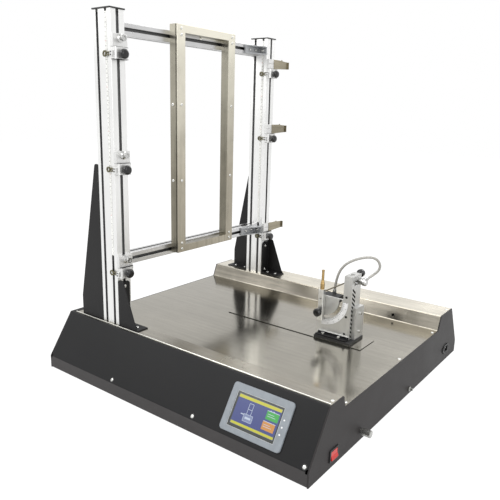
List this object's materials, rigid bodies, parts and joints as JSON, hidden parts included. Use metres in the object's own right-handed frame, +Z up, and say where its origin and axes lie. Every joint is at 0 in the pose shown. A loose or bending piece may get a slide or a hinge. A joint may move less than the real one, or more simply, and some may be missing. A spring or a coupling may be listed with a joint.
{
  "type": "fabric flammability tester",
  "caption": "Cloth burn tester: stainless tray on a black cabinet with touch screen, T-slot columns, specimen frame, thread clamps and a sliding, tilting gas burner.",
  "frame": {"origin": "middle of the cabinet's footprint, on the surface it stands on", "axes": "+X to the switch and gas knob side, +Y from the touch screen side to the back, +Z up"},
  "size_m": [0.824, 0.822, 0.893],
  "materials": {
    "black_paint": "semi-matt powder coat",
    "stainless": "brushed sheet",
    "bare_aluminium": "machined",
    "anodised": "clear anodised",
    "frame_steel": "brushed, warm tint",
    "grey_casting": "cast, painted grey",
    "screw_steel": "plated",
    "dark_screw": "blackened",
    "steel_fitting": "turned",
    "chrome_metal": "polished",
    "brass_metal": "turned",
    "black_plastic": "moulded",
    "ball_plastic": "gloss",
    "grey_plastic": "moulded",
    "red_plastic": "moulded",
    "white_tape": "printed tape",
    "braid": "braided sleeve",
    "screen": "display behind glass"
  },
  "bodies": {
    "cabinet": {"side_plate_left": "black_paint", "side_plate_right": "black_paint", "front_panel": "black_paint", "rear_panel": "black_paint", "bottom_plate": "black_paint", "tray": "stainless", "screen_bezel": "grey_plastic", "screen_glass": "screen", "switch_housing": "black_plastic", "gas_inlet": "steel_fitting", "mains_inlet": "black_plastic", "column_near": "anodised", "column_far": "anodised", "column_caps": "black_plastic", "scale_tapes": "white_tape", "gusset_short_near": "black_paint", "gusset_short_far": "black_paint", "gusset_tall_near": "black_paint", "gusset_tall_far": "black_paint", "beam_top": "anodised", "beam_low": "anodised", "corner_brackets": "grey_casting", "rear_frame": "frame_steel", "front_frame": "frame_steel", "button_screws": "screw_steel"},
    "switch_rocker": {"switch_rocker": "red_plastic"},
    "gas_knob": {"gas_knob": "steel_fitting"},
    "carriage": {"cover_plate": "stainless", "carriage_pad": "bare_aluminium", "foot_angle": "bare_aluminium", "guide": "bare_aluminium", "cap_screws": "screw_steel"},
    "burner_head": {"protractor_plate": "bare_aluminium", "protractor_scale": "white_tape", "rack_post": "bare_aluminium", "plate_screws": "dark_screw", "gas_block": "black_paint", "hose_fitting": "chrome_metal", "pilot_tube": "steel_fitting", "gas_hose": "braid", "hose_ferrules": "chrome_metal"},
    "burner": {"burner_body": "bare_aluminium", "nozzle": "brass_metal"},
    "valve_knob": {"valve_knob": "ball_plastic"},
    "lock_knob": {"lock_knob": "ball_plastic"},
    "clamp_near_1": {"clamp_near_1": "bare_aluminium"},
    "knob_near_1": {"knob_near_1": "ball_plastic"},
    "clamp_near_2": {"clamp_near_2": "bare_aluminium"},
    "knob_near_2": {"knob_near_2": "ball_plastic"},
    "clamp_near_3": {"clamp_near_3": "bare_aluminium"},
    "knob_near_3": {"knob_near_3": "ball_plastic"},
    "clamp_far_1": {"clamp_far_1": "bare_aluminium"},
    "knob_far_1": {"knob_far_1": "ball_plastic"},
    "clamp_far_2": {"clamp_far_2": "bare_aluminium"},
    "knob_far_2": {"knob_far_2": "ball_plastic"},
    "clamp_far_3": {"clamp_far_3": "bare_aluminium"},
    "knob_far_3": {"knob_far_3": "ball_plastic"},
    "pulley_near_1": {"pulley_near_1": "chrome_metal"},
    "pulley_near_2": {"pulley_near_2": "chrome_metal"},
    "pulley_near_3": {"pulley_near_3": "chrome_metal"}
  },
  "joints": [
    {"name": "carriage_slide", "type": "slide", "parent": "cabinet", "child": "carriage", "axis": [-1, 0, 0], "range_m": [0, 0.26]},
    {"name": "head_lift", "type": "slide", "parent": "carriage", "child": "burner_head", "axis": [0, 0, 1], "range_m": [0, 0.06]},
    {"name": "burner_tilt", "type": "hinge", "parent": "burner_head", "child": "burner", "pos_m": [0.1735, 0, 0.215], "axis": [0, -1, 0], "range_deg": [0, 90]},
    {"name": "lock_knob_turn", "type": "hinge", "parent": "burner", "child": "lock_knob", "pos_m": [0.1735, 0, 0.182], "axis": [0, 1, 0], "range_deg": [0, 360]},
    {"name": "valve_knob_turn", "type": "hinge", "parent": "burner_head", "child": "valve_knob", "pos_m": [0.241, 0, 0.279], "axis": [0, 1, 0], "range_deg": [0, 360]},
    {"name": "gas_knob_turn", "type": "hinge", "parent": "cabinet", "child": "gas_knob", "pos_m": [0.4, -0.201, 0.022], "axis": [1, 0, 0], "range_deg": [0, 720]},
    {"name": "rocker_tip", "type": "hinge", "parent": "cabinet", "child": "switch_rocker", "pos_m": [0.397, -0.319, 0.027], "axis": [0, 1, 0], "range_deg": [0, 14]},
    {"name": "clamp_near_1_slide", "type": "slide", "parent": "cabinet", "child": "clamp_near_1", "axis": [0, 0, 1], "range_m": [-0.1, 0.045]},
    {"name": "knob_near_1_turn", "type": "hinge", "parent": "clamp_near_1", "child": "knob_near_1", "pos_m": [-0.2, -0.3095, 0.793], "axis": [1, 0, 0], "range_deg": [0, 360]},
    {"name": "pulley_near_1_turn", "type": "hinge", "parent": "clamp_near_1", "child": "pulley_near_1", "pos_m": [-0.2, -0.3095, 0.827], "axis": [1, 0, 0], "continuous": true},
    {"name": "clamp_near_2_slide", "type": "slide", "parent": "cabinet", "child": "clamp_near_2", "axis": [0, 0, 1], "range_m": [-0.1, 0.1]},
    {"name": "knob_near_2_turn", "type": "hinge", "parent": "clamp_near_2", "child": "knob_near_2", "pos_m": [-0.2, -0.3095, 0.531], "axis": [1, 0, 0], "range_deg": [0, 360]},
    {"name": "pulley_near_2_turn", "type": "hinge", "parent": "clamp_near_2", "child": "pulley_near_2", "pos_m": [-0.2, -0.3095, 0.565], "axis": [1, 0, 0], "continuous": true},
    {"name": "clamp_near_3_slide", "type": "slide", "parent": "cabinet", "child": "clamp_near_3", "axis": [0, 0, 1], "range_m": [-0.003, 0.095]},
    {"name": "knob_near_3_turn", "type": "hinge", "parent": "clamp_near_3", "child": "knob_near_3", "pos_m": [-0.2, -0.3095, 0.276], "axis": [1, 0, 0], "range_deg": [0, 360]},
    {"name": "pulley_near_3_turn", "type": "hinge", "parent": "clamp_near_3", "child": "pulley_near_3", "pos_m": [-0.2, -0.3095, 0.31], "axis": [1, 0, 0], "continuous": true},
    {"name": "clamp_far_1_slide", "type": "slide", "parent": "cabinet", "child": "clamp_far_1", "axis": [0, 0, 1], "range_m": [-0.065, 0.045]},
    {"name": "knob_far_1_turn", "type": "hinge", "parent": "clamp_far_1", "child": "knob_far_1", "pos_m": [-0.2, 0.293, 0.787], "axis": [1, 0, 0], "range_deg": [0, 360]},
    {"name": "clamp_far_2_slide", "type": "slide", "parent": "cabinet", "child": "clamp_far_2", "axis": [0, 0, 1], "range_m": [-0.12, 0.07]},
    {"name": "knob_far_2_turn", "type": "hinge", "parent": "clamp_far_2", "child": "knob_far_2", "pos_m": [-0.2, 0.293, 0.591], "axis": [1, 0, 0], "range_deg": [0, 360]},
    {"name": "clamp_far_3_slide", "type": "slide", "parent": "cabinet", "child": "clamp_far_3", "axis": [0, 0, 1], "range_m": [-0.001, 0.003]},
    {"name": "knob_far_3_turn", "type": "hinge", "parent": "clamp_far_3", "child": "knob_far_3", "pos_m": [-0.2, 0.293, 0.274], "axis": [1, 0, 0], "range_deg": [0, 360]}
  ]
}
